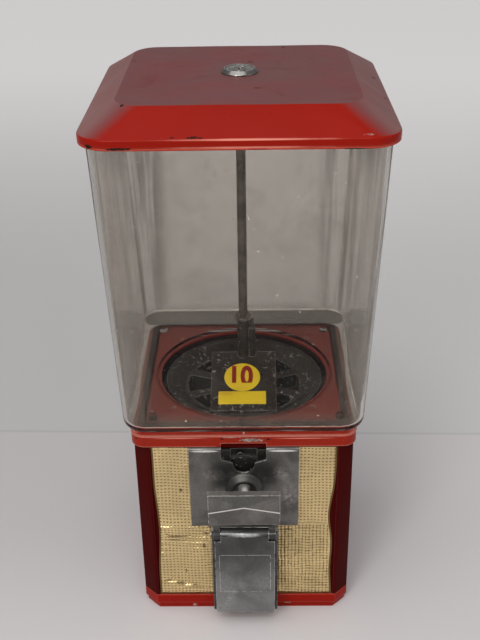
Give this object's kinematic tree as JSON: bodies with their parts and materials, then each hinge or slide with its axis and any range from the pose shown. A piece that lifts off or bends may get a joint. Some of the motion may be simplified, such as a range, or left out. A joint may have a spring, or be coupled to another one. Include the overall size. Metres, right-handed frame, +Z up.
{
  "type": "gumball machine",
  "caption": "Countertop bulk gumball machine with a clear square globe, red steel cabinet, turn-handle coin mechanism, geared dispensing wheel and flap door.",
  "frame": {"origin": "centre of the base plate's underside", "axes": "-Y is the front, with the handle and the chute door; +X is the machine's right-hand side seen from the front; +Z is up"},
  "size_m": [0.19, 0.2016, 0.392],
  "materials": {
    "red_paint": "glossy red enamel, chipped at the edges",
    "dark_red_paint": "dark maroon enamel",
    "gold_foil": "embossed gold-coloured foil with creases",
    "dull_chrome": "aged chrome plate with stains and scuffs",
    "plated_steel": "dull plated steel",
    "zinc": "dusty dark die cast zinc",
    "clear_plastic": "clear acrylic with fine scratches",
    "yellow_label": "worn yellow sticker",
    "dark_bristle": "stiff dark bristles"
  },
  "bodies": {
    "cabinet": {"base_plate": "red_paint", "body_shell": "dark_red_paint", "front_panel": "dark_red_paint", "front_foil": "gold_foil", "hopper_pan": "red_paint", "wheel_bowl": "zinc", "bowl_screws": "plated_steel", "globe": "clear_plastic", "centre_rod": "plated_steel", "foot_nut": "plated_steel", "foot_washer": "plated_steel", "push_nut": "plated_steel", "brush_housing": "zinc", "clamp_pin": "plated_steel", "brush_strips": "dark_bristle", "price_label": "yellow_label", "plain_label": "yellow_label", "mech_faceplate": "dull_chrome", "shaft_bush": "dull_chrome", "coin_guide": "zinc", "mech_posts": "plated_steel", "mech_back_plate": "zinc", "mech_screws": "plated_steel", "pawl_pin": "plated_steel", "pawl_spring": "plated_steel", "ball_chute": "plated_steel", "chute_housing": "dull_chrome", "chute_screws": "plated_steel", "hinge_pin": "plated_steel"},
    "coin_turner": {"handle": "dull_chrome", "handle_shaft": "plated_steel", "coin_wheel": "zinc", "drive_gear": "plated_steel", "ratchet_wheel": "plated_steel", "shaft_nut": "plated_steel"},
    "output": {"output_shaft": "plated_steel", "output_gear": "plated_steel", "wheel_pinion": "plated_steel"},
    "wheel": {"dispensing_wheel": "zinc", "wheel_gear": "plated_steel"},
    "pawl": {"pawl": "plated_steel"},
    "door": {"chute_door": "dull_chrome"},
    "lid": {"lid": "red_paint", "lock_ring": "dull_chrome", "lock_barrel": "dull_chrome", "lock_nut": "plated_steel"},
    "lock": {"lock_cylinder": "plated_steel"}
  },
  "joints": [
    {"name": "handle_turn", "type": "hinge", "parent": "cabinet", "child": "coin_turner", "pos_m": [0, -0.09, 0.116], "axis": [0, 1, 0], "continuous": true},
    {"name": "output_turn", "type": "hinge", "parent": "cabinet", "child": "output", "pos_m": [0, -0.06, 0.134], "axis": [0, 1, 0], "continuous": true},
    {"name": "wheel_turn", "type": "hinge", "parent": "cabinet", "child": "wheel", "pos_m": [0, 0, 0.148], "axis": [0, 0, 1], "continuous": true},
    {"name": "pawl_swing", "type": "hinge", "parent": "cabinet", "child": "pawl", "pos_m": [0.0145, -0.06, 0.13], "axis": [0, -1, 0], "range_deg": [-8, 0], "stiffness_Nm_per_rad": 0.01, "springref_deg": -17.19},
    {"name": "door_swing", "type": "hinge", "parent": "cabinet", "child": "door", "pos_m": [0, -0.0897, 0.0835], "axis": [-1, 0, 0], "range_deg": [0, 65]},
    {"name": "lid_lift", "type": "slide", "parent": "cabinet", "child": "lid", "axis": [0, 0, 1], "range_m": [0, 0.08]},
    {"name": "lock_turn", "type": "hinge", "parent": "lid", "child": "lock", "pos_m": [0, 0, 0.386], "axis": [0, 0, 1], "range_deg": [0, 90]}
  ],
  "couplings": [
    {"joint": "output_turn", "follows": "handle_turn", "ratio": -1},
    {"joint": "wheel_turn", "follows": "handle_turn", "ratio": -0.125}
  ]
}
